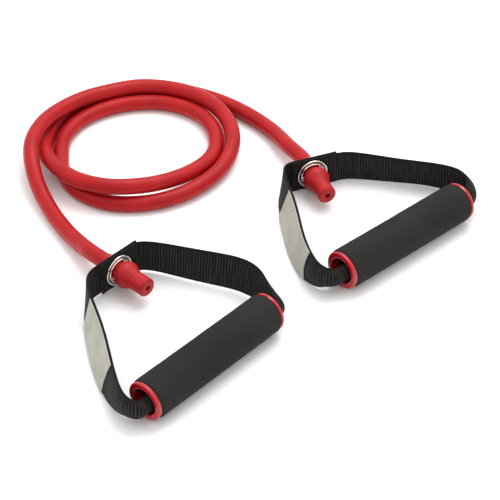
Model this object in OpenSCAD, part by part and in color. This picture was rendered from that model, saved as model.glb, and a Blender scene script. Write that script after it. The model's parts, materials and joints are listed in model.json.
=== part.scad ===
// Resistance band: an elastic tube with a D-shaped handle on each end, lying on a flat surface.
// Millimetres, +Z up, X along the line of the two grips, the tube's coil on the +Y side.

/* [Tube] */
// Outer diameter of the elastic tube
tube_diameter = 13; // [12:0.5:13]

/* [Grip] */
// Length of the foam sleeve on each grip
grip_length = 125; // [120:1:127]
// Outer diameter of the foam sleeve
grip_diameter = 32; // [32:1:34]
// Outer diameter of the rigid tube that the foam sits on
core_diameter = 25; // [25:0.5:26]
// Diameter of the opening in each end ring
ring_opening = 20.6; // [20.6:0.1:21]

/* [Strap] */
// Width of the webbing
web_width = 28; // [26:1:28]
// Thickness of the webbing
web_thickness = 2; // [1.6:0.1:2]
// Length over which the two ends of the webbing overlap
overlap_length = 39; // [38:1:40]

/* [Eyelet] */
// Outer diameter of the eyelet's flange
eyelet_diameter = 26; // [25:0.5:27]
// Diameter of the eyelet's hole
eyelet_hole = 17; // [16.8:0.1:17.4]

/* [Stopper] */
// Diameter of the stopper's neck, which turns in the eyelet
neck_diameter = 15.6; // [15.2:0.1:15.6]
// Largest diameter of the stopper's bulb
bulb_diameter = 21.5; // [20.5:0.5:22.5]
// Length of the stopper on the grip's side of the eyelet
stopper_reach = 34; // [33:1:37]
// Diameter of the small hole through the stopper's tail
tail_hole = 4.4; // [3.6:0.2:4.6]

/* [Hidden] */

fine = 72;
axis_height = grip_diameter / 2;
layer_gap = 0.3;
layer_offset = (web_thickness + layer_gap) / 2;
stack = 2 * web_thickness + layer_gap;
surface_gap = 0.1;
core_wall = 1.6;
ring_lip = 3;
ring_lip_radius = 15.4;
barrel_radius = eyelet_hole / 2 + 0.8;
strap_hole_radius = barrel_radius + 0.3;
overlap_middle = 2.5;
overlap_ends = [overlap_middle - overlap_length / 2, overlap_middle + overlap_length / 2];
stitch_rows = [overlap_ends[0] + 2.5, overlap_ends[1] - 3];
label_thickness = 0.6;
label_gap = 0.3;
curled = 215;
curl_radius = web_width / (curled * PI / 180);
curl_turn = -28;
grip_places = [76, 68, 40, 0, -40, -68, -78];
strap_steps = 3;
strap_parts = 6;
collar_reach = 10;
plug_start = 7;
plug_end = 17;
look_ahead = 0.05;

// Each handle: the grip's middle, its turn about Z, the eyelet's place on the handle, the turn
// of the eyelet's face, and the steps along the webbing between which the label lies.
LEFT = [[-102.5, -52], 3, [22, 117.5, 16], 0, [62, 70]];
RIGHT = [[98.5, -58], -3, [3, 107, 14.3], -20, [60, 69]];
function grip_middle(h) = h[0];
function grip_turn(h) = h[1];
function eyelet_place(h) = h[2];
function face_turn(h) = h[3];
function label_steps(h) = h[4];

// Stations of the webbing on each side of the D: x, y and z, then lean and curl in degrees. The
// lean tips the upper edge inward and the curl rolls the webbing's width into a gutter.
left_long_side = [[52, 107.5, 16, -2, 0], [63, 82, 16, -9, 0], [74, 60, 16, -14, 0],
    [82, 42.5, 16, -16, 0], [84, 23.5, 16, -9, 45], [79, 6, 16, 0, 120]];
left_label_side = [[-82, 7, 14.5, -10, 100], [-74, 25, 14.5, 12, 40], [-61, 44, 14.3, 21, 0],
    [-46, 67, 14, 26, 0], [-31, 90, 15, 18, 0], [-18, 110, 16, 6, 0], [-6, 118.5, 16, 0, 0]];
right_long_side = [[32, 94.5, 14.3, 2, 0], [44.5, 79, 14.3, 6, 0], [58.5, 60, 14.3, 11, 0],
    [73.5, 42, 14.3, 13, 0], [86.5, 22, 15, 4, 50], [86, 4, 16, 0, 120]];
right_label_side = [[-86, 4, 14.5, -10, 100], [-82, 22, 14.5, 10, 40], [-70, 44, 14.3, 18, 0],
    [-54.5, 67.5, 14.3, 22, 0], [-40, 90.5, 14.3, 18, 0], [-28, 109, 14.3, 8, 0],
    [-19.5, 115.5, 14.3, 2, 0]];
left_strap = strap_points(LEFT, left_long_side, left_label_side);
right_strap = strap_points(RIGHT, right_long_side, right_label_side);

// Route of the tube from the straight part behind the left eyelet down to the surface.
left_lead = [[-86.5, 99, 14], [-83, 115, 10], [-78, 138, 7], [-70, 168, 8], [-57.5, 200, 14]];
// The coil's middle, and how its radius and height change with the angle turned, clockwise.
coil_middle = [40.5, 183];
coil_start = 150;
coil_step = 20;
coil_end = 840;
coil_radius = [[0, 90.5], [20, 81], [40, 73], [60, 68.5], [80, 67], [120, 70], [160, 75.5],
    [180, 77], [240, 78], [300, 83], [320, 80.5], [360, 66.5], [420, 59], [440, 57.5], [460, 57.5],
    [520, 63.5], [600, 64], [620, 67.5], [660, 80], [680, 82.5], [740, 78], [780, 77.5], [840, 80.5]];
coil_height = [[0, 21], [20, 21.5], [80, 16.4], [140, 15], [180, 12], [220, 9], [280, 6.7],
    [560, 7], [600, 12], [640, 19], [660, 20.8], [680, 20.5], [700, 18], [740, 7], [760, 6.7], [840, 6.7]];
// Route of the tube from the coil up to the straight part behind the right eyelet.
right_lead = [[124, 196.5, 6.7], [131.5, 167, 6.7], [133, 138, 6.7], [129.5, 113, 8], [121, 89, 12]];

// Places on the tube's straight ends, measured out of the D from the eyelets.
tube_straights = [-plug_start, 8, 20];
tube_sides = 10;
tube_rings = 76;

function unit(v) = v / norm(v);

// Catmull-Rom point between b and c.
function curve_point(a, b, c, d, t) =
    (2 * b + (c - a) * t + (2 * a - 5 * b + 4 * c - d) * t * t + (3 * b - a - 3 * c + d) * t * t * t) / 2;
function through(points, at) =
    let (last = len(points) - 1, i = min(floor(at), last - 1))
    curve_point(points[max(i - 1, 0)], points[i], points[i + 1], points[min(i + 2, last)], at - i);

// Cubic B-spline point: rounder than the points it follows, and never outside them.
function spline_point(a, b, c, d, t) =
    (a * (1 - t) * (1 - t) * (1 - t) + b * (3 * t * t * t - 6 * t * t + 4)
        + c * (1 + 3 * t + 3 * t * t - 3 * t * t * t) + d * t * t * t) / 6;
function near(points, at) =
    let (last = len(points) - 1, i = min(floor(at), last - 1),
        before = i > 0 ? points[i - 1] : 2 * points[0] - points[1],
        after = i + 2 <= last ? points[i + 2] : 2 * points[last] - points[last - 1])
    spline_point(before, points[i], points[i + 1], after, at - i);

// Triangles that close a ring of n points, from the first of its points. Rings run down one face
// and back up the other, so each point is paired with the one opposite it.
function cap(first, n) = [
    for (j = [0:n / 2 - 2])
        let (here = first + j, opposite = first + n - 1 - j)
        each [[here, opposite, here + 1], [here + 1, opposite, opposite - 1]]
];
function reversed(faces) = [for (face = faces) [face[2], face[1], face[0]]];

// Closed skin over rings of the same even number of points.
module skin(rings) {
    n = len(rings[0]);
    last = len(rings) - 1;
    polyhedron(
        points = [for (ring = rings) each ring],
        faces = concat(
            cap(0, n),
            [for (i = [0:last - 1], j = [0:n - 1])
                let (k = i * n, after = (j + 1) % n)
                each [[k + j, k + after, k + n + j], [k + after, k + n + after, k + n + j]]],
            reversed(cap(last * n, n))),
        convexity = 10);
}

// Point on the tube's straight end, a distance out of the D from a handle's eyelet.
function behind_eyelet(h, distance) =
    let (p = on_face(h, 0, distance), middle = grip_middle(h), turn = grip_turn(h))
    [middle.x + p.x * cos(turn) - p.y * sin(turn), middle.y + p.x * sin(turn) + p.y * cos(turn), p.z];

function coil_points() = [
    for (turned = [0:coil_step:coil_end])
        let (r = lookup(turned, coil_radius), a = coil_start - turned)
        [coil_middle.x + r * cos(a), coil_middle.y + r * sin(a), lookup(turned, coil_height)]
];

module elastic_tube() {
    route = concat(
        [for (distance = tube_straights) behind_eyelet(LEFT, distance)],
        left_lead, coil_points(), right_lead,
        [for (i = [len(tube_straights) - 1:-1:0]) behind_eyelet(RIGHT, tube_straights[i])]);
    last = len(route) - 1;
    lowest = tube_diameter / 2 + surface_gap;
    color("crimson") skin([
        for (k = [0:tube_rings])
            let (at = last * k / tube_rings,
                point = through(route, at),
                here = [point.x, point.y, max(point.z, lowest)],
                ahead = unit(through(route, min(at + look_ahead, last))
                    - through(route, max(at - look_ahead, 0))),
                side = unit(cross(ahead, [0, 0, 1])),
                up = cross(side, ahead))
            [for (j = [0:tube_sides - 1])
                let (a = 360 * (j + 0.5) / tube_sides)
                here + tube_diameter / 2 * (cos(a) * side + sin(a) * up)]
    ]);
}

// Point on a handle's eyelet face: u along the webbing, v out of the D.
function on_face(h, u, v) =
    let (middle = eyelet_place(h), turn = face_turn(h))
    [middle.x + u * cos(turn) - v * sin(turn), middle.y + u * sin(turn) + v * cos(turn), middle.z, 0, 0];
function overlap(h, v) =
    let (places = [overlap_ends[0], stitch_rows[0], -5, 6, stitch_rows[1], overlap_ends[1]])
    [for (u = places) on_face(h, u, v)];

// Webbing curled round the grip's axis. Its opening faces into the D at the long side's end, and
// turns upward on its way to the label's side.
function in_grip(x, curl) =
    let (turn = curl_turn * (grip_places[0] - x) / (grip_places[0] - grip_places[len(grip_places) - 1]))
    [x, -curl_radius * cos(turn), axis_height + curl_radius * sin(turn), turn, curl];

// One length of webbing: under layer, long side, through the grip, label's side and upper layer.
function strap_points(h, long_side, label_side) = concat(
    overlap(h, -layer_offset),
    long_side,
    [for (x = grip_places) in_grip(x, abs(x) > 70 ? 180 : curled)],
    label_side,
    overlap(h, layer_offset)
);

// One strip of webbing between two of the strap's steps, standing off its middle surface.
module webbing(points, from, to, width, thickness, stand_off) {
    last = len(points) - 1;
    skin([
        for (step = [from:to])
            let (at = step / strap_steps,
                p = near(points, at),
                ahead_2d = near(points, min(at + look_ahead, last))
                    - near(points, max(at - look_ahead, 0)),
                ahead = unit([ahead_2d.x, ahead_2d.y, 0]),
                side = cross(ahead, [0, 0, 1]),
                inward = cos(p[3]) * side - sin(p[3]) * [0, 0, 1],
                upward = cos(p[3]) * [0, 0, 1] + sin(p[3]) * side,
                curl = max(p[4], 1),
                radius = web_width / (curl * PI / 180))
            [for (face = [-1, 1], j = [0:strap_parts])
                let (a = face * curl * width / web_width * (j / strap_parts - 0.5),
                    r = radius - stand_off - face * thickness / 2)
                [p.x, p.y, p.z] + radius * inward - r * cos(a) * inward + r * sin(a) * upward]
    ]);
}

// Puts a child, drawn with +Z as the way into the D, on a handle's eyelet.
module at_eyelet(h) {
    translate(eyelet_place(h)) rotate([90, 0, face_turn(h)]) children();
}

// Puts a child, drawn in the grip's own frame, where its handle lies.
module at_handle(h) {
    translate(grip_middle(h)) rotate([0, 0, grip_turn(h)]) children();
}

// Revolved shape from its outline of radius and height.
module turned(outline) {
    rotate_extrude($fn = fine) polygon(outline);
}

function arc(middle, radius, start, end, steps = 8) =
    [for (i = [0:steps]) let (a = start + (end - start) * i / steps) middle + radius * [cos(a), sin(a)]];

module strap(h, points) {
    color("#262624") difference() {
        webbing(points, 0, strap_steps * (len(points) - 1), web_width, web_thickness, 0);
        at_eyelet(h) cylinder(h = 4 * stack, r = strap_hole_radius, center = true, $fn = fine);
    }
}

module label(h, points) {
    color("#b9b7aa")
        webbing(points, label_steps(h)[0], label_steps(h)[1], web_width - 1, label_thickness,
            -(web_thickness + label_thickness) / 2 - label_gap);
}

// Rows of short thread bars across both faces of the overlap, near its two ends.
module stitching(h) {
    bar = [0.7, 3, 0.5];
    spacing = 4;
    outermost = 3 * spacing;
    color("#1c1c1c") at_eyelet(h)
        for (u = stitch_rows, v = [-outermost:spacing:outermost], face = [-1, 1])
            translate([u, v, face * (stack / 2 + surface_gap + bar.z / 2)]) cube(bar, center = true);
}

// Front half of the eyelet: rolled outer rim, stepped inner rim and the barrel through both layers.
module eyelet() {
    hole = eyelet_hole / 2;
    rim = eyelet_diameter / 2;
    front = stack / 2 + surface_gap;
    back = -front - 1.2;
    outer_bead = 0.9;
    inner_bead = 1.1;
    groove = [rim - 2.3, rim - 2];
    groove_height = front + 0.3;
    color("silver") turned(concat(
        [[barrel_radius, back], [barrel_radius, front], [rim, front]],
        arc([rim - outer_bead, front + 0.6], outer_bead, 0, 180),
        [[groove[1], groove_height], [groove[0], groove_height]],
        arc([hole + inner_bead, front + 0.7], inner_bead, 0, 180),
        [[hole, back]]));
}

module eyelet_washer() {
    front = -stack / 2 - surface_gap;
    color("silver") turned([
        [barrel_radius + 0.1, front], [barrel_radius + 0.1, front - 1.1],
        [eyelet_diameter / 2 - 0.8, front - 1.1], [eyelet_diameter / 2, front - 0.4],
        [eyelet_diameter / 2, front]]);
}

// Moulded sleeve on the tube's end: collar, neck through the eyelet, bulb and tail.
module stopper() {
    neck = neck_diameter / 2;
    bulb = bulb_diameter / 2;
    tail = tube_diameter / 2 + 0.9;
    shoulder = stack / 2 + 2.4;
    curve = 6;
    narrowing_start = shoulder + curve + 0.5;
    narrowing = 10;
    edge = 0.4;
    tail_edge = 1.2;
    color("#b8323a") difference() {
        turned(concat(
            [[0, -collar_reach], [neck - edge, -collar_reach], [neck, -collar_reach + edge],
                [neck, shoulder]],
            arc([bulb - curve, shoulder + curve], curve, -60, 0),
            [for (t = [0.1:0.15:1])
                [bulb + (tail - bulb) * (1 - cos(180 * t)) / 2, narrowing_start + narrowing * t]],
            [[tail, stopper_reach - tail_edge], [tail - tail_edge, stopper_reach], [0, stopper_reach]]));
        translate([0, 0, -collar_reach - 1])
            cylinder(h = collar_reach + 1 + plug_end, d = tube_diameter + 0.3, $fn = fine);
        cylinder(h = stopper_reach + 1, d = tail_hole, $fn = fine);
    }
}

// Plug that closes the tube's end inside the bulb.
module tube_plug() {
    radius = tube_diameter / 2;
    color("dimgray") turned([
        [0, plug_start], [radius - 0.5, plug_start], [radius, plug_start + 1],
        [radius, plug_end - 3], [radius - 2, plug_end - 0.3], [0, plug_end - 0.3]]);
}

// Draws a child along the grip's axis, which is its own Z axis.
module along_grip() {
    translate([0, 0, axis_height]) rotate([0, 90, 0]) children();
}

module grip_core() {
    color("#30302f") along_grip() difference() {
        cylinder(h = grip_length - 2, d = core_diameter, center = true, $fn = fine);
        cylinder(h = grip_length, d = core_diameter - 2 * core_wall, center = true, $fn = fine);
    }
}

module foam_sleeve() {
    half = grip_length / 2;
    outside = grip_diameter / 2;
    inside = core_diameter / 2 + surface_gap;
    corner = 3;
    color("#2e2d2d") along_grip() turned(concat(
        [[inside, -half]],
        arc([outside - corner, corner - half], corner, -90, 0),
        arc([outside - corner, half - corner], corner, 0, 90),
        [[inside, half]]));
}

// End ring: a rounded lip outside the foam and a spigot inside the core.
module end_ring(end) {
    half = grip_length / 2;
    opening = ring_opening / 2;
    spigot = core_diameter / 2 - core_wall - surface_gap;
    spigot_end = half - 5;
    round_radius = ring_lip / 2;
    color("#c3252f") along_grip() mirror([0, 0, end < 0 ? 1 : 0]) turned(concat(
        [[opening, spigot_end], [spigot, spigot_end], [spigot, half + surface_gap],
            [ring_lip_radius, half + surface_gap]],
        arc([ring_lip_radius - round_radius, half + ring_lip - round_radius], round_radius, 0, 90),
        arc([opening + round_radius, half + ring_lip - round_radius], round_radius, 90, 180)));
}

elastic_tube();
at_handle(LEFT) at_eyelet(LEFT) stopper();  // left_stopper
at_handle(LEFT) at_eyelet(LEFT) tube_plug();  // left_tube_plug
at_handle(LEFT) strap(LEFT, left_strap);
at_handle(LEFT) label(LEFT, left_strap);  // left_label
at_handle(LEFT) stitching(LEFT);  // left_stitching
at_handle(LEFT) at_eyelet(LEFT) eyelet();  // left_eyelet
at_handle(LEFT) at_eyelet(LEFT) eyelet_washer();  // left_eyelet_washer
at_handle(LEFT) grip_core();  // left_grip_core
at_handle(LEFT) foam_sleeve();  // left_foam_sleeve
at_handle(LEFT) end_ring(-1);  // left_outer_end_ring
at_handle(LEFT) end_ring(1);  // left_inner_end_ring
at_handle(RIGHT) at_eyelet(RIGHT) stopper();  // right_stopper
at_handle(RIGHT) at_eyelet(RIGHT) tube_plug();  // right_tube_plug
at_handle(RIGHT) strap(RIGHT, right_strap);
at_handle(RIGHT) label(RIGHT, right_strap);  // right_label
at_handle(RIGHT) stitching(RIGHT);  // right_stitching
at_handle(RIGHT) at_eyelet(RIGHT) eyelet();  // right_eyelet
at_handle(RIGHT) at_eyelet(RIGHT) eyelet_washer();  // right_eyelet_washer
at_handle(RIGHT) grip_core();  // right_grip_core
at_handle(RIGHT) foam_sleeve();  // right_foam_sleeve
at_handle(RIGHT) end_ring(1);  // right_outer_end_ring
at_handle(RIGHT) end_ring(-1);  // right_inner_end_ring
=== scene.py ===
"""Resistance band: a red elastic tube, loosely coiled, with a webbing and foam handle on each end.

Everything is in metres in the CAD model's frame: +X from the left grip to the right grip, +Y
towards the coil and +Z up. Lists of stations and outlines are in millimetres and scaled by MM.
"""
import json
import math

import bmesh
import bpy
import numpy as np
from mathutils import Matrix, Vector, noise


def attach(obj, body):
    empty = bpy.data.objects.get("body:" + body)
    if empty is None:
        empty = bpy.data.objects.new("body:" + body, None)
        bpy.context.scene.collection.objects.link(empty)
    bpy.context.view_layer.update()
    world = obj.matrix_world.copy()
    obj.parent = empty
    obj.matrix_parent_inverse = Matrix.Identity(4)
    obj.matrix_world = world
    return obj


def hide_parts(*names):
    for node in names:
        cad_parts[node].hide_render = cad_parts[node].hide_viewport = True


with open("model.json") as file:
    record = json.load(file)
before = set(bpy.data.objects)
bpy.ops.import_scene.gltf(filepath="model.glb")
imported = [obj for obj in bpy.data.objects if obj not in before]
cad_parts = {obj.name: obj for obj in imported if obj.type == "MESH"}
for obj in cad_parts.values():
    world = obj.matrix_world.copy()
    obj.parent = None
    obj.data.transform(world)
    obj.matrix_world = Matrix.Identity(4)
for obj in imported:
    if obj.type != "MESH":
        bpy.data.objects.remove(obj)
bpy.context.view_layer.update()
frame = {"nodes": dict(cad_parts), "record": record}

MM = 0.001
UP = Vector((0, 0, 1))
JOINTS = {joint["name"]: joint for joint in frame["record"]["behaviour"]["joints"]}

TUBE = 13.0
GRIP_LENGTH = 125.0
GRIP = 32.0
CORE = 25.0
CORE_WALL = 1.6
RING_OPENING = 20.6
RING_LIP = 3.0
RING_LIP_RADIUS = 15.4
WEB_WIDTH = 28.0
WEB_THICKNESS = 2.0
LAYER_GAP = 0.3
SURFACE_GAP = 0.1
OVERLAP_ENDS = (-17.0, 22.0)
STITCH_ROWS = (-14.5, 19.0)
CURLED = 215
CURL_TURN = math.radians(-28)
GRIP_PLACES = (76, 68, 40, 0, -40, -68, -78)
RIB_SPACING = 2.3
LABEL_THICKNESS = 0.6
LABEL_GAP = 0.3
EYELET = 26.0
EYELET_HOLE = 17.0
NECK = 15.6
BULB = 21.5
STOPPER_REACH = 34.0
TAIL_HOLE = 4.4
COLLAR_REACH = 10.0
PLUG_START = 7.0
PLUG_END = 17.0

HALF_GRIP = GRIP_LENGTH / 2
BARREL = EYELET_HOLE / 2 + 0.8
STRAP_HOLE = BARREL + 0.3
STACK = 2 * WEB_THICKNESS + LAYER_GAP
GROOVE = EYELET_HOLE / 2 + 2.35
LOOK_AHEAD = 0.02


# Camera: the angle and distance that best fit how the two grips look in the photograph.
AZIMUTH = math.radians(-44.3)
ELEVATION = math.radians(40)
DISTANCE = 1.44
TARGET = Vector((0.0145, 0.025, 0))
CAMERA_RIGHT = Vector((math.cos(AZIMUTH), math.sin(AZIMUTH), 0))
CAMERA_AHEAD = Vector((-math.sin(AZIMUTH), math.cos(AZIMUTH), 0))


def aim(obj, place, at):
    """Puts a camera or light at a place, looking at a point."""
    obj.location = place
    obj.rotation_euler = (at - place).to_track_quat("-Z", "Y").to_euler()


def make_camera():
    lens = bpy.data.cameras.new("camera")
    lens.sensor_width = 36
    lens.lens = 132.5
    camera = bpy.data.objects.new("camera", lens)
    bpy.context.scene.collection.objects.link(camera)
    back = -math.cos(ELEVATION) * CAMERA_AHEAD + math.sin(ELEVATION) * UP
    aim(camera, TARGET + DISTANCE * back, TARGET)
    bpy.context.scene.camera = camera


# Materials

class Look:
    """A material built a node at a time round one Principled shader."""

    def __init__(self, name, **inputs):
        self.material = bpy.data.materials.new(name)
        self.material.use_nodes = True
        self.nodes = self.material.node_tree.nodes
        self.links = self.material.node_tree.links
        self.shader = self.nodes["Principled BSDF"]
        self.fill(self.shader, inputs)

    def put(self, socket, value):
        """Joins another node's output to a socket, or sets the socket to a plain value."""
        if isinstance(value, bpy.types.NodeSocket):
            self.links.new(value, socket)
        else:
            socket.default_value = value

    def fill(self, node, inputs):
        for name, value in inputs.items():
            self.put(node.inputs[name.replace("_", " ")], value)

    def add(self, kind, output=0, settings=None, **inputs):
        """A new node with its inputs filled, returned as the output that is used."""
        node = self.nodes.new("ShaderNode" + kind)
        for name, value in (settings or {}).items():
            setattr(node, name, value)
        self.fill(node, inputs)
        return node.outputs[output]

    def place(self):
        return self.add("TexCoord", "Object")

    def noise(self, scale, detail=3, roughness=0.5, vector=None):
        return self.add("TexNoise", Vector=vector or self.place(), Scale=scale, Detail=detail,
                        Roughness=roughness)

    def math(self, operation, *values):
        node = self.nodes.new("ShaderNodeMath")
        node.operation = operation
        for socket, value in zip(node.inputs, values):
            self.put(socket, value)
        return node.outputs[0]

    def ramp(self, value, low, high, to_low=0.0, to_high=1.0):
        return self.add("MapRange", settings={"interpolation_type": "SMOOTHSTEP"}, Value=value,
                        From_Min=low, From_Max=high, To_Min=to_low, To_Max=to_high)

    def mix(self, share, first, second):
        node = self.nodes.new("ShaderNodeMix")
        node.data_type = "RGBA"
        for place, value in ((0, share), (6, first), (7, second)):
            self.put(node.inputs[place], value)
        return node.outputs[2]

    def bump(self, height, depth, normal=None):
        """A bump of that depth in millimetres, over any earlier one."""
        inputs = {"Height": height, "Strength": 1.0, "Distance": depth * MM}
        if normal:
            inputs["Normal"] = normal
        return self.add("Bump", **inputs)

    def set(self, **inputs):
        self.fill(self.shader, inputs)


def grey(level, warmth=0.0):
    return (level * (1 + warmth), level, level * (1 - warmth), 1)


def tube_rubber():
    look = Look("tube_rubber", Subsurface_Weight=0.1, Subsurface_Scale=0.003,
                Specular_IOR_Level=0.22)
    cloud = look.ramp(look.noise(45, 4), 0.35, 0.65)
    fine = look.noise(1400, 4, 0.6)
    dull = look.ramp(look.noise(150, 4, 0.6), 0.3, 0.7)
    look.set(
        Base_Color=look.mix(cloud, (0.40, 0.006, 0.008, 1), (0.34, 0.004, 0.006, 1)),
        Roughness=look.ramp(dull, 0, 1, 0.34, 0.48),
        Normal=look.bump(fine, 0.03, look.bump(look.noise(260, 2), 0.04)))
    return look.material


def stopper_rubber():
    look = Look("stopper_rubber", Subsurface_Weight=0.08, Subsurface_Scale=0.002,
                Specular_IOR_Level=0.25)
    cloud = look.ramp(look.noise(160, 3), 0.35, 0.65)
    look.set(
        Base_Color=look.mix(cloud, (0.42, 0.010, 0.014, 1), (0.35, 0.007, 0.010, 1)),
        Roughness=look.ramp(look.noise(420, 3), 0.3, 0.7, 0.42, 0.56),
        Normal=look.bump(look.noise(2200, 4, 0.6), 0.03))
    return look.material


def ring_plastic():
    look = Look("ring_plastic", Coat_Weight=0.3, Coat_Roughness=0.06)
    scuff = look.ramp(look.noise(700, 6, 0.7), 0.52, 0.68)
    look.set(
        Base_Color=look.mix(scuff, (0.42, 0.004, 0.010, 1), (0.36, 0.008, 0.012, 1)),
        Roughness=look.ramp(scuff, 0, 1, 0.16, 0.3),
        Normal=look.bump(look.noise(300, 2), 0.015))
    return look.material


def foam():
    look = Look("foam", Specular_IOR_Level=0.12)
    pores = look.add("TexVoronoi", Vector=look.place(), Scale=1500.0, Randomness=1.0)
    pit = look.ramp(pores, 0.0, 0.45)
    grain = look.noise(900, 5, 0.65)
    patch = look.noise(28, 3)
    dark = look.mix(look.ramp(patch, 0.3, 0.7), grey(0.016, 0.03), grey(0.021, 0.03))
    speck = look.ramp(grain, 0.56, 0.72)
    look.set(
        Base_Color=look.mix(look.math("MULTIPLY", speck, 0.45), dark, grey(0.045, 0.03)),
        Roughness=look.ramp(grain, 0.3, 0.7, 0.7, 0.86),
        Normal=look.bump(pit, 0.05, look.bump(grain, 0.09)))
    return look.material


def along_and_across(look):
    """The two distances in millimetres that a piece's texture map holds: along and across a
    strip, or round and outward on a turned piece."""
    split = look.nodes.new("ShaderNodeSeparateXYZ")
    look.links.new(look.add("TexCoord", "UV"), split.inputs[0])
    return split.outputs[0], split.outputs[1]


def wave(look, distance, spacing):
    """From 0 to 1 and back once in each spacing."""
    turn = look.math("MULTIPLY", distance, 2 * math.pi / spacing)
    return look.math("MULTIPLY_ADD", look.math("SINE", turn), 0.5, 0.5)


def webbing():
    """Ribs across the strip, each a row of threads, with two smooth rows along each edge. The colour
    holds painted light: painted highlights on the rib tops and painted shade between the ribs.
    """
    look = Look("webbing", Specular_IOR_Level=0.15)
    along, across = along_and_across(look)
    streaks = look.add("CombineXYZ", X=look.math("MULTIPLY", along, 0.55),
                       Y=look.math("MULTIPLY", across, 0.06))
    streak = look.noise(1.0, 4, 0.65, streaks)
    wobble = look.math("MULTIPLY", look.noise(0.6, 2, vector=streaks), 0.9)
    rib = wave(look, look.math("ADD", along, wobble), RIB_SPACING)
    slant = look.math("MULTIPLY", along, 0.4)
    thread = wave(look, look.math("ADD", across, slant), 0.75)
    edge = look.ramp(look.math("ABSOLUTE", across), WEB_WIDTH / 2 - 2.2, WEB_WIDTH / 2 - 1.6)
    edge_rows = wave(look, across, 0.8)
    height = look.math("MULTIPLY_ADD", thread, 0.3, look.math("MULTIPLY", rib, 0.7))
    weave = look.add("Mix", Factor=edge, A=height, B=edge_rows)
    # Painted highlight on the rib tops and painted shade in the grooves between the ribs, following
    # the bump height and dimmed in places by the streaks.
    rib_painted_light = look.math("POWER", look.ramp(height, 0.25, 0.95), 1.5)
    lit = look.math("MULTIPLY", rib_painted_light, look.ramp(streak, 0.35, 0.65, 0.25, 1))
    inner = look.math("SUBTRACT", 1.0, look.math("MULTIPLY", edge, 0.7))
    look.set(
        Base_Color=look.mix(look.math("MULTIPLY", lit, inner), grey(0.003, 0.05), grey(0.05, 0.05)),
        Roughness=look.ramp(streak, 0.3, 0.7, 0.62, 0.8),
        Normal=look.bump(weave, 0.25, look.bump(look.noise(2600, 3), 0.03)))
    return look.material


def label_cloth():
    look = Look("label_cloth", Sheen_Weight=0.05, Sheen_Roughness=0.5, Specular_IOR_Level=0.3)
    along, across = along_and_across(look)
    weave = look.math("MAXIMUM", wave(look, along, 0.55), wave(look, across, 0.55))
    soil = look.ramp(look.noise(60, 4), 0.35, 0.7)
    border = look.math("COMPARE", look.math("ABSOLUTE", across), WEB_WIDTH / 2 - 3, 0.35)
    cloth = look.mix(soil, (0.45, 0.437, 0.375, 1), (0.385, 0.372, 0.32, 1))
    gap = look.math("MULTIPLY", look.math("SUBTRACT", 1.0, weave), 0.5)
    threads = look.mix(gap, cloth, (0.22, 0.212, 0.18, 1))
    look.set(
        Base_Color=look.mix(look.math("MULTIPLY", border, 0.3), threads, (0.2, 0.19, 0.17, 1)),
        Roughness=look.ramp(soil, 0, 1, 0.7, 0.82),
        Normal=look.bump(weave, 0.06, look.bump(look.noise(90, 2), 0.25)))
    return look.material


def nickel():
    """Bright plate, with painted shade in the sunken ring between the eyelet's two beads."""
    look = Look("nickel", Metallic=1.0)
    smear = look.ramp(look.noise(240, 4), 0.4, 0.65)
    radius = along_and_across(look)[1]
    # Painted shade: the plate colour is set near black in the sunken ring between the two beads.
    groove_painted_shade = look.math("COMPARE", radius, GROOVE, 0.45)
    bright = look.mix(smear, (0.88, 0.83, 0.77, 1), (0.78, 0.73, 0.67, 1))
    look.set(
        Base_Color=look.mix(groove_painted_shade, bright, (0.05, 0.045, 0.04, 1)),
        Roughness=look.ramp(smear, 0, 1, 0.12, 0.22),
        Normal=look.bump(look.noise(500, 3), 0.01))
    return look.material


def thread():
    look = Look("thread", Sheen_Weight=0.05, Specular_IOR_Level=0.25)
    twist = look.noise(3200, 2)
    look.set(
        Base_Color=look.mix(twist, grey(0.004), grey(0.025)),
        Roughness=look.ramp(twist, 0.3, 0.7, 0.55, 0.75),
        Normal=look.bump(twist, 0.08))
    return look.material


def black_plastic():
    look = Look("black_plastic", Specular_IOR_Level=0.3)
    grain = look.noise(1800, 4)
    look.set(
        Base_Color=look.mix(grain, grey(0.008), grey(0.018)),
        Roughness=look.ramp(grain, 0.3, 0.7, 0.45, 0.62),
        Normal=look.bump(grain, 0.03))
    return look.material


def studio_floor():
    look = Look("studio_floor", Specular_IOR_Level=0.1)
    cloud = look.noise(2.5, 3)
    look.set(
        Base_Color=look.mix(cloud, grey(0.94), grey(0.96)),
        Roughness=look.ramp(cloud, 0.3, 0.7, 0.7, 0.8),
        Normal=look.bump(look.noise(500, 2), 0.01))
    return look.material


LOOKS = {
    "tube": tube_rubber(), "stopper": stopper_rubber(), "end_ring": ring_plastic(), "foam": foam(),
    "webbing": webbing(), "label": label_cloth(), "eyelet": nickel(), "stitching": thread(),
    "grip_core": black_plastic(), "plug": black_plastic(),
}


# Shapes

def finish_piece(obj, body, slot, *nodes):
    """Links a piece, gives it its look, and puts it in the place of its CAD nodes."""
    bpy.context.scene.collection.objects.link(obj)
    obj.data.materials.append(LOOKS[slot])
    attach(obj, body)
    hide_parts(*nodes)
    return obj


def smooth(mesh, sharp_angle=35):
    mesh.shade_smooth()
    mesh.set_sharp_from_angle(angle=math.radians(sharp_angle))


def arc(x, y, radius, start, end, steps=12):
    """Points on part of a circle, from one angle to another in degrees."""
    turns = np.radians(np.linspace(start, end, steps + 1))
    return [(x + radius * math.cos(turn), y + radius * math.sin(turn)) for turn in turns]


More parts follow.
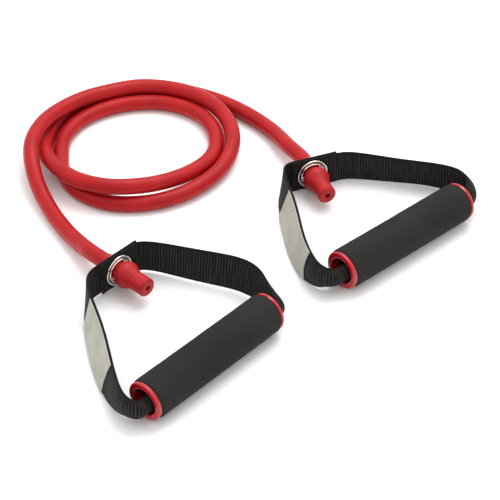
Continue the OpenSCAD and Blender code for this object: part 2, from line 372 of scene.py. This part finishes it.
def turned(name, outline, place, around=128, rough=0.0):
    """A shape turned round place's Z axis from a closed outline of (radius, height), in
    millimetres. rough moves each point in or out by up to that much."""
    mesh = bpy.data.meshes.new(name)
    shape = bmesh.new()
    texture = shape.loops.layers.uv.new("turned")
    rings = []
    for k in range(around):
        turn = 2 * math.pi * k / around
        ring = []
        for radius, height in outline:
            spot = Vector((radius * math.cos(turn), radius * math.sin(turn), height))
            if rough:
                wander = noise.noise(spot / 9) + 0.3 * noise.noise(spot / 2)
                swell = 1 + rough * wander / radius
                spot = Vector((spot.x * swell, spot.y * swell, height))
            ring.append(shape.verts.new(place @ (spot * MM)))
        rings.append(ring)
    for k in range(around):
        here, there = rings[k], rings[(k + 1) % around]
        for j, after in zip(range(len(outline)), [*range(1, len(outline)), 0]):
            corners = ((here[j], k, j), (there[j], k + 1, j), (there[after], k + 1, after),
                       (here[after], k, after))
            if outline[j][0] or outline[after][0]:
                face = shape.faces.new([corner[0] for corner in corners])
                for loop, (_, step, i) in zip(face.loops, corners):
                    loop[texture].uv = (step / around * 2 * math.pi * outline[i][0], outline[i][0])
    bmesh.ops.remove_doubles(shape, verts=shape.verts, dist=1e-6)
    bmesh.ops.recalc_face_normals(shape, faces=shape.faces)
    shape.to_mesh(mesh)
    shape.free()
    smooth(mesh)
    return bpy.data.objects.new(name, mesh)


def spline_point(points, at):
    """Cubic B-spline: rounder than the points it follows."""
    last = len(points) - 1
    i = min(int(at), last - 1)
    t = at - i
    before = points[i - 1] if i else 2 * points[0] - points[1]
    after = points[i + 2] if i + 2 <= last else 2 * points[last] - points[last - 1]
    return (before * (1 - t) ** 3 + points[i] * (3 * t ** 3 - 6 * t ** 2 + 4)
            + points[i + 1] * (1 + 3 * t + 3 * t ** 2 - 3 * t ** 3) + after * t ** 3) / 6


def strip_section(width, thickness):
    """Outline of a strip's section with round edges, as distances across and through it."""
    bend = thickness * 0.45
    flat = width / 2 - bend
    face = np.linspace(-flat, flat, 15)[1:-1]
    edge = arc(0, 0, bend, -90, 90, 4)
    return ([(flat + x, y * thickness / 2 / bend) for x, y in edge]
            + [(x, thickness / 2) for x in face[::-1]]
            + [(-flat - x, -y * thickness / 2 / bend) for x, y in edge]
            + [(x, -thickness / 2) for x in face])


def strip(name, points, start, end, width, thickness, stand_off, place, steps=14):
    """A strip of webbing along a strap's stations, from one step to another."""
    section = strip_section(width, thickness)
    last = len(points) - 1
    stops = np.arange(round(start * steps), round(end * steps) + 1) / steps
    mesh = bpy.data.meshes.new(name)
    shape = bmesh.new()
    texture = shape.loops.layers.uv.new("strip")
    rings = []
    travelled = [0]
    centres = []
    for at in stops:
        x, y, z, lean, curl = spline_point(points, at)
        ahead = spline_point(points, min(at + LOOK_AHEAD, last))
        step = ahead - spline_point(points, max(at - LOOK_AHEAD, 0))
        side = Vector((step[0], step[1], 0)).normalized().cross(UP)
        lean = math.radians(lean)
        inward = math.cos(lean) * side - math.sin(lean) * UP
        upward = math.cos(lean) * UP + math.sin(lean) * side
        curl_radius = WEB_WIDTH / math.radians(max(curl, 1))
        middle = Vector((x, y, z)) + curl_radius * inward
        ring = []
        for across, through in section:
            turn = across / curl_radius
            reach = curl_radius - stand_off - through
            spot = middle + reach * (math.sin(turn) * upward - math.cos(turn) * inward)
            ring.append(shape.verts.new(place @ (spot * MM)))
        rings.append(ring)
        centres.append(Vector((x, y, z)))
    for here, there in zip(centres, centres[1:]):
        travelled.append(travelled[-1] + (there - here).length)
    count = len(section)
    for i in range(len(rings) - 1):
        for j in range(count):
            after = (j + 1) % count
            corners = ((i, j), (i + 1, j), (i + 1, after), (i, after))
            face = shape.faces.new([rings[along][k] for along, k in corners])
            for loop, (along, k) in zip(face.loops, corners):
                loop[texture].uv = (travelled[along], section[k][0])
    for i, order in ((0, 1), (-1, -1)):
        face = shape.faces.new(rings[i][::order])
        for loop, k in zip(face.loops, range(count)[::order]):
            loop[texture].uv = (travelled[i], section[k][0])
    bmesh.ops.recalc_face_normals(shape, faces=shape.faces)
    shape.to_mesh(mesh)
    shape.free()
    smooth(mesh, 50)
    return bpy.data.objects.new(name, mesh)


def cut_hole(obj, place, radius, depth):
    """Cuts a round hole through a linked piece, with the change kept in its mesh."""
    cutter = turned("cutter", [(0, -depth), (radius, -depth), (radius, depth), (0, depth)], place, 96)
    bpy.context.scene.collection.objects.link(cutter)
    hole = obj.modifiers.new("hole", "BOOLEAN")
    hole.operation = "DIFFERENCE"
    hole.object = cutter
    hole.solver = "EXACT"
    evaluated = obj.evaluated_get(bpy.context.evaluated_depsgraph_get())
    cut = bpy.data.meshes.new_from_object(evaluated)
    obj.modifiers.clear()
    obj.data = cut
    bpy.data.objects.remove(cutter)


# Handles

class Handle:
    """Where one handle lies, from its two joints, and the stations its strap follows."""

    def __init__(self, side, long_side, label_side, label_span):
        self.side = side
        self.body = side + "_handle"
        self.grip_body = side + "_grip"
        grip = JOINTS[side + "_grip_spin"]
        swivel = JOINTS[side + "_swivel"]
        along = Vector(grip["axis"]).normalized()
        middle = Vector(grip["pos_m"])
        self.place = frame_at(Vector((middle.x, middle.y, 0)), along, UP.cross(along))
        self.grip = Matrix.Translation(middle) @ along.to_track_quat("Z", "Y").to_matrix().to_4x4()
        self.into = Vector(swivel["axis"]).normalized()
        self.centre = Vector(swivel["pos_m"])
        self.eyelet = frame_at(self.centre, UP.cross(self.into), UP)
        self.label_span = label_span
        self.stations = self.strap_stations(long_side, label_side)

    def on_face(self, u, out):
        """Station on the eyelet's face: u along the webbing and out of the D."""
        spot = self.place.inverted() @ (self.eyelet @ Vector((u * MM, 0, -out * MM)))
        return (*(spot / MM), 0, 0)

    def overlap(self, out):
        places = (OVERLAP_ENDS[0], STITCH_ROWS[0], -5, 6, STITCH_ROWS[1], OVERLAP_ENDS[1])
        return [self.on_face(u, out) for u in places]

    def strap_stations(self, long_side, label_side):
        """Under layer, long side, through the grip, label's side and upper layer."""
        offset = (WEB_THICKNESS + LAYER_GAP) / 2
        points = self.overlap(-offset) + long_side
        points += [in_grip(x, 180 if abs(x) > 70 else CURLED) for x in GRIP_PLACES]
        points += label_side + self.overlap(offset)
        return np.array(points, float)

    def behind_eyelet(self, distance):
        """Point on the tube's straight end, that far out of the D."""
        return self.centre - self.into * distance * MM


def in_grip(x, curl):
    """Station of webbing curled round the grip's axis. Its opening faces into the D at the long
    side's end, and turns upward on its way to the label's side."""
    radius = WEB_WIDTH / math.radians(CURLED)
    turn = CURL_TURN * (GRIP_PLACES[0] - x) / (GRIP_PLACES[0] - GRIP_PLACES[-1])
    y = -radius * math.cos(turn)
    z = GRIP / 2 + radius * math.sin(turn)
    return (x, y, z, math.degrees(turn), curl)


def frame_at(origin, x_axis, y_axis):
    """Matrix of a frame from its origin and its first two axes."""
    z_axis = x_axis.cross(y_axis)
    columns = Matrix((x_axis, y_axis, z_axis)).transposed().to_4x4()
    return Matrix.Translation(origin) @ columns


LEFT = Handle(
    "left",
    [(52, 107.5, 16, -2, 0), (63, 82, 16, -9, 0), (74, 60, 16, -14, 0), (82, 42.5, 16, -16, 0),
     (84, 23.5, 16, -9, 45), (79, 6, 16, 0, 120)],
    [(-82, 7, 14.5, -10, 100), (-74, 25, 14.5, 12, 40), (-61, 44, 14.3, 21, 0), (-46, 67, 14, 26, 0),
     (-31, 90, 15, 18, 0), (-18, 110, 16, 6, 0), (-6, 118.5, 16, 0, 0)],
    (62 / 3, 70 / 3))
RIGHT = Handle(
    "right",
    [(32, 94.5, 14.3, 2, 0), (44.5, 79, 14.3, 6, 0), (58.5, 60, 14.3, 11, 0), (73.5, 42, 14.3, 13, 0),
     (86.5, 22, 15, 4, 50), (86, 4, 16, 0, 120)],
    [(-86, 4, 14.5, -10, 100), (-82, 22, 14.5, 10, 40), (-70, 44, 14.3, 18, 0),
     (-54.5, 67.5, 14.3, 22, 0), (-40, 90.5, 14.3, 18, 0), (-28, 109, 14.3, 8, 0),
     (-19.5, 115.5, 14.3, 2, 0)],
    (60 / 3, 69 / 3))


# Tube

LEFT_LEAD = [(-86.5, 99, 14), (-83, 115, 10), (-78, 138, 7), (-70, 168, 8), (-57.5, 200, 14)]
RIGHT_LEAD = [(124, 196.5, 6.7), (131.5, 167, 6.7), (133, 138, 6.7), (129.5, 113, 8), (121, 89, 12)]
COIL_MIDDLE = (40.5, 183)
COIL_START = 150
COIL_STEP = 20
COIL_END = 840
# Radius and height by the angle turned. They come from a fit of the tube's path, rounded and
# nudged, and are the same as in the CAD source.
COIL_RADIUS = [
    (0, 90.5), (20, 81), (40, 73), (60, 68.5), (80, 67), (120, 70), (160, 75.5), (180, 77), (240, 78),
    (300, 83), (320, 80.5), (360, 66.5), (420, 59), (440, 57.5), (460, 57.5), (520, 63.5), (600, 64),
    (620, 67.5), (660, 80), (680, 82.5), (740, 78), (780, 77.5), (840, 80.5)]
COIL_HEIGHT = [
    (0, 21), (20, 21.5), (80, 16.4), (140, 15), (180, 12), (220, 9), (280, 6.7), (560, 7), (600, 12),
    (640, 19), (660, 20.8), (680, 20.5), (700, 18), (740, 7), (760, 6.7), (840, 6.7)]
STRAIGHTS = (-PLUG_START, 8, 20)


def coil():
    """The coil's points: its radius and height change with the angle turned, clockwise."""
    for turned_by in range(0, COIL_END + 1, COIL_STEP):
        radius = np.interp(turned_by, *zip(*COIL_RADIUS))
        turn = math.radians(COIL_START - turned_by)
        yield (COIL_MIDDLE[0] + radius * math.cos(turn), COIL_MIDDLE[1] + radius * math.sin(turn),
               np.interp(turned_by, *zip(*COIL_HEIGHT)))


def curve_point(points, at):
    """Catmull-Rom point, which goes through every one of the points."""
    last = len(points) - 1
    i = min(int(at), last - 1)
    t = at - i
    a, b, c, d = points[max(i - 1, 0)], points[i], points[i + 1], points[min(i + 2, last)]
    square = (2 * a - 5 * b + 4 * c - d) * t ** 2
    cube = (3 * b - a - 3 * c + d) * t ** 3
    return (2 * b + (c - a) * t + square + cube) / 2


def make_tube():
    route = [LEFT.behind_eyelet(distance) / MM for distance in STRAIGHTS]
    route += [*LEFT_LEAD, *coil(), *RIGHT_LEAD]
    route += [RIGHT.behind_eyelet(distance) / MM for distance in STRAIGHTS[::-1]]
    route = np.array([tuple(point) for point in route], float)
    lowest = TUBE / 2 + SURFACE_GAP
    steps = 6 * (len(route) - 1)
    line = [curve_point(route, (len(route) - 1) * k / steps) for k in range(steps + 1)]
    line = [Vector((x, y, max(z, lowest))) * MM for x, y, z in line]
    curve = bpy.data.curves.new("elastic_tube_skin", "CURVE")
    curve.dimensions = "3D"
    curve.bevel_depth = TUBE / 2 * MM
    curve.bevel_resolution = 10
    curve.use_fill_caps = True
    spline = curve.splines.new("POLY")
    spline.points.add(len(line) - 1)
    for point, spot in zip(spline.points, line):
        point.co = (*spot, 1)
    spline.use_smooth = True
    tube = bpy.data.objects.new("elastic_tube_skin", curve)
    finish_piece(tube, "tube", "tube", "elastic_tube")


def make_strap(handle):
    obj = strip(handle.side + "_strap_webbing", handle.stations, 0, len(handle.stations) - 1,
                WEB_WIDTH, WEB_THICKNESS, 0, handle.place)
    finish_piece(obj, handle.body, "webbing", handle.side + "_strap")
    cut_hole(obj, handle.eyelet, STRAP_HOLE, 3 * STACK)


def make_label(handle):
    stand_off = -(WEB_THICKNESS + LABEL_THICKNESS) / 2 - LABEL_GAP
    obj = strip(handle.side + "_label_cloth", handle.stations, *handle.label_span,
                WEB_WIDTH - 1, LABEL_THICKNESS, stand_off, handle.place)
    finish_piece(obj, handle.body, "label", handle.side + "_label")


def make_stitching(handle):
    """Rows of short stitches across both faces of the overlap, near its two ends."""
    name = handle.side + "_stitches"
    mesh = bpy.data.meshes.new(name)
    shape = bmesh.new()
    for u in STITCH_ROWS:
        for v in range(-12, 13, 4):
            for face in (-1, 1):
                spot = Vector((u, v, face * (STACK / 2 + SURFACE_GAP + 0.2)))
                stitch = Matrix.Translation(spot) @ Matrix.Diagonal((0.35, 1.6, 0.25, 1))
                place = handle.eyelet @ Matrix.Scale(MM, 4) @ stitch
                bmesh.ops.create_uvsphere(shape, u_segments=12, v_segments=8, radius=1, matrix=place)
    shape.to_mesh(mesh)
    shape.free()
    smooth(mesh, 180)
    obj = bpy.data.objects.new(name, mesh)
    finish_piece(obj, handle.body, "stitching", handle.side + "_stitching")


def make_eyelet(handle):
    """Rolled outer rim, dished face, raised inner rim and the barrel through both layers."""
    hole = EYELET_HOLE / 2
    rim = EYELET / 2
    front = STACK / 2 + SURFACE_GAP
    outline = [(BARREL, -front - 1.2), (BARREL, front), (rim - 0.3, front)]
    outline += arc(rim - 0.75, front + 0.6, 0.75, -50, 190, 18)
    outline += [(GROOVE + 0.4, front + 0.15), (GROOVE - 0.4, front + 0.15)]
    outline += arc(hole + 0.9, front + 0.9, 0.9, -20, 180, 18)
    outline += [(hole, -front - 1.2)]
    obj = turned(handle.side + "_eyelet_metal", outline, handle.eyelet)
    finish_piece(obj, handle.body, "eyelet", handle.side + "_eyelet")


def make_washer(handle):
    front = -STACK / 2 - SURFACE_GAP
    rim = EYELET / 2
    outline = [(BARREL + 0.1, front), (BARREL + 0.1, front - 1.0), (BARREL + 0.4, front - 1.2),
               (rim - 1.2, front - 1.1)]
    outline += arc(rim - 0.7, front - 0.4, 0.7, -90, 0, 8)
    outline += [(rim, front)]
    obj = turned(handle.side + "_washer_metal", outline, handle.eyelet)
    finish_piece(obj, handle.body, "eyelet", handle.side + "_eyelet_washer")


def make_stopper(handle):
    """Moulded sleeve: collar, neck through the eyelet, bulb, and a tail with a small hole."""
    neck, bulb, tail = NECK / 2, BULB / 2, TUBE / 2 + 0.9
    shoulder = STACK / 2 + 2.4
    bore = TUBE / 2 + 0.15
    curve = 6
    narrowing_start = shoulder + curve + 0.5
    narrowing = 10
    outline = [(bore, -COLLAR_REACH), (neck - 0.5, -COLLAR_REACH)]
    outline += arc(neck - 0.5, -COLLAR_REACH + 0.5, 0.5, -90, 0, 6)
    outline += [(neck, shoulder)]
    outline += arc(bulb - curve, shoulder + curve, curve, -60, 0, 14)
    for t in np.linspace(0.05, 1, 20):
        ease = (1 - math.cos(math.pi * t)) / 2
        outline.append((bulb + (tail - bulb) * ease, narrowing_start + narrowing * t))
    outline += arc(tail - 0.5, STOPPER_REACH - 1.4, 0.5, 0, 45, 4)
    outline += arc(tail - 1.5, STOPPER_REACH - 0.4, 0.4, 45, 90, 4)
    outline += arc(TAIL_HOLE / 2 + 0.5, STOPPER_REACH - 0.5, 0.5, 90, 180, 4)
    outline += [(TAIL_HOLE / 2, PLUG_END), (bore, PLUG_END)]
    obj = turned(handle.side + "_stopper_rubber", outline, handle.eyelet)
    finish_piece(obj, "tube", "stopper", handle.side + "_stopper")


def make_foam(handle):
    outside = GRIP / 2
    inside = CORE / 2 + SURFACE_GAP
    corner = 3
    outline = [(inside, -HALF_GRIP), (outside - corner - 0.5, -HALF_GRIP)]
    outline += arc(outside - corner, corner - HALF_GRIP, corner, -90, 0, 10)
    outline += [(outside, x) for x in np.arange(-HALF_GRIP + 5, HALF_GRIP - 4, 1.5)]
    outline += arc(outside - corner, HALF_GRIP - corner, corner, 0, 90, 10)
    outline += [(outside - corner - 0.5, HALF_GRIP), (inside, HALF_GRIP)]
    obj = turned(handle.side + "_foam_skin", outline, handle.grip, 144, 0.12)
    finish_piece(obj, handle.grip_body, "foam", handle.side + "_foam_sleeve")


def make_ring(handle, end, node):
    """End ring: a round glossy lip outside the foam, and a spigot inside the core."""
    opening = RING_OPENING / 2
    spigot = CORE / 2 - CORE_WALL - SURFACE_GAP
    spigot_end = HALF_GRIP - 5
    base = HALF_GRIP + SURFACE_GAP
    top = HALF_GRIP + RING_LIP
    outer_round = 1.4
    inner_round = RING_LIP / 2
    outline = [(opening, spigot_end), (spigot, spigot_end), (spigot, base),
               (RING_LIP_RADIUS - 0.3, base)]
    outline += arc(RING_LIP_RADIUS - outer_round, top - inner_round, outer_round, -30, 90, 12)
    outline += arc(opening + inner_round, top - inner_round, inner_round, 90, 180, 12)
    if end < 0:
        outline = [(radius, -height) for radius, height in outline]
    obj = turned(handle.side + "_" + node + "_lip", outline, handle.grip)
    finish_piece(obj, handle.grip_body, "end_ring", handle.side + "_" + node)


def make_handle(handle, outer_end):
    make_strap(handle)
    make_label(handle)
    make_stitching(handle)
    make_eyelet(handle)
    make_washer(handle)
    make_stopper(handle)
    make_foam(handle)
    make_ring(handle, outer_end, "outer_end_ring")
    make_ring(handle, -outer_end, "inner_end_ring")
    for node in ("grip_core", "tube_plug"):
        kept = frame["nodes"][handle.side + "_" + node]
        slot = "grip_core" if node == "grip_core" else "plug"
        kept.data.materials.clear()
        kept.data.materials.append(LOOKS[slot])


# Studio

SKY_LOW = 0.75
SKY_HIGH = 1.3


def make_floor():
    half = 4
    corners = [(-half, -half, 0), (half, -half, 0), (half, half, 0), (-half, half, 0)]
    mesh = bpy.data.meshes.new("floor")
    mesh.from_pydata(corners, [], [(0, 1, 2, 3)])
    floor = bpy.data.objects.new("floor", mesh)
    floor.location.z = -0.1 * MM
    mesh.materials.append(studio_floor())
    bpy.context.scene.collection.objects.link(floor)


def softbox(name, right, ahead, up, size, power):
    """A square light, placed from the middle as the camera sees it."""
    light = bpy.data.lights.new(name, "AREA")
    light.size = size
    light.energy = power
    lamp = bpy.data.objects.new(name, light)
    bpy.context.scene.collection.objects.link(lamp)
    aim(lamp, TARGET + right * CAMERA_RIGHT + ahead * CAMERA_AHEAD + up * UP, TARGET)


def make_sky():
    """Even white light, dimmer towards the horizon."""
    world = bpy.data.worlds.new("studio")
    world.use_nodes = True
    nodes, links = world.node_tree.nodes, world.node_tree.links
    split = nodes.new("ShaderNodeSeparateXYZ")
    links.new(nodes.new("ShaderNodeTexCoord").outputs["Generated"], split.inputs[0])
    height = nodes.new("ShaderNodeMapRange")
    height.inputs["From Min"].default_value = 0.0
    height.inputs["From Max"].default_value = 0.8
    height.inputs["To Min"].default_value = SKY_LOW
    height.inputs["To Max"].default_value = SKY_HIGH
    links.new(split.outputs[2], height.inputs["Value"])
    links.new(height.outputs[0], nodes["Background"].inputs["Strength"])
    nodes["Background"].inputs["Color"].default_value = (1, 1, 1, 1)
    bpy.context.scene.world = world


def make_studio():
    make_floor()
    make_sky()
    softbox("key", 0.3, 0.6, 1.5, 1.0, 15)
    bpy.context.scene.view_settings.view_transform = "Standard"


make_camera()
make_tube()
make_handle(LEFT, -1)
make_handle(RIGHT, 1)
make_studio()

bpy.context.view_layer.update()
